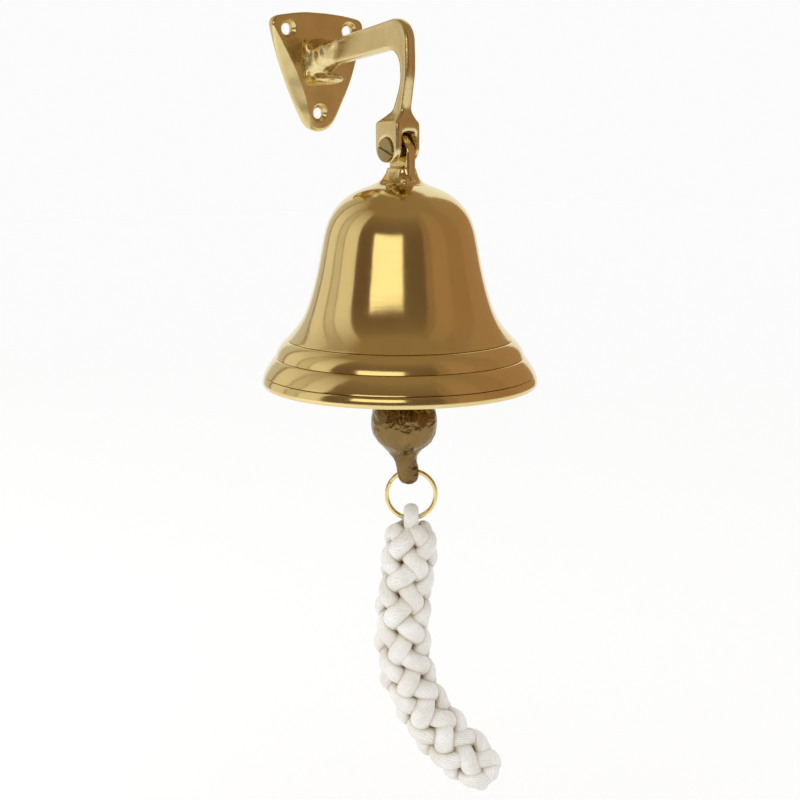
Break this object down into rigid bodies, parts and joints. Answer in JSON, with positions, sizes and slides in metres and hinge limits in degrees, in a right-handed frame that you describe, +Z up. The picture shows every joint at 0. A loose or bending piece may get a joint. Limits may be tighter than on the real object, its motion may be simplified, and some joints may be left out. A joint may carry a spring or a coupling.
{
  "type": "ship bell",
  "caption": "Wall-mounted brass ship bell on a bent bracket arm, with a hinged bell, a swinging clapper, a pull ring and a braided cotton lanyard.",
  "frame": {"origin": "on the wall face of the plate, centred across it, level with the root of the arm", "axes": "+Z up; +Y out of the plate's back into the wall; the arm reaches out along -Y; +X to the right as seen from the wall's front"},
  "size_m": [0.1501, 0.155, 0.4434],
  "materials": {
    "polished_brass": "mirror-polished cast brass",
    "satin_brass": "polished cast brass with a lapped, brushed side",
    "screw_brass": "dull slotted brass screw",
    "rough_bronze": "rough cast bronze, as cast",
    "wire_brass": "bright drawn brass wire",
    "cotton_cord": "off-white braided cotton"
  },
  "bodies": {
    "bracket": {"wall_plate": "polished_brass", "bracket_arm": "satin_brass", "pivot_screw": "screw_brass"},
    "bell": {"bell_body": "polished_brass", "crown_staple": "rough_bronze"},
    "link": {"hanger_link": "wire_brass"},
    "clapper": {"clapper": "rough_bronze"},
    "ring": {"pull_ring": "wire_brass"},
    "lanyard": {"lanyard_loop": "cotton_cord", "lanyard_braid": "cotton_cord"}
  },
  "joints": [
    {"name": "bell_swing", "type": "hinge", "parent": "bracket", "child": "bell", "pos_m": [0, -0.08, -0.052], "axis": [1, 0, 0], "range_deg": [-35, 1.8]},
    {"name": "link_swing", "type": "hinge", "parent": "bell", "child": "link", "pos_m": [0.00362, -0.08135, -0.088], "axis": [0.585, 0.8111, 0], "range_deg": [-6, 6]},
    {"name": "clapper_swing", "type": "hinge", "parent": "link", "child": "clapper", "pos_m": [0.00362, -0.08135, -0.1069], "axis": [0.8111, -0.585, 0], "range_deg": [-30, 30]},
    {"name": "ring_swing", "type": "hinge", "parent": "clapper", "child": "ring", "pos_m": [0.00678, -0.08363, -0.2274], "axis": [0.8111, -0.585, 0], "range_deg": [-70, 70]},
    {"name": "lanyard_swing", "type": "hinge", "parent": "ring", "child": "lanyard", "pos_m": [0.00678, -0.08363, -0.241], "axis": [0.585, 0.8111, 0], "range_deg": [-45, 45]}
  ]
}
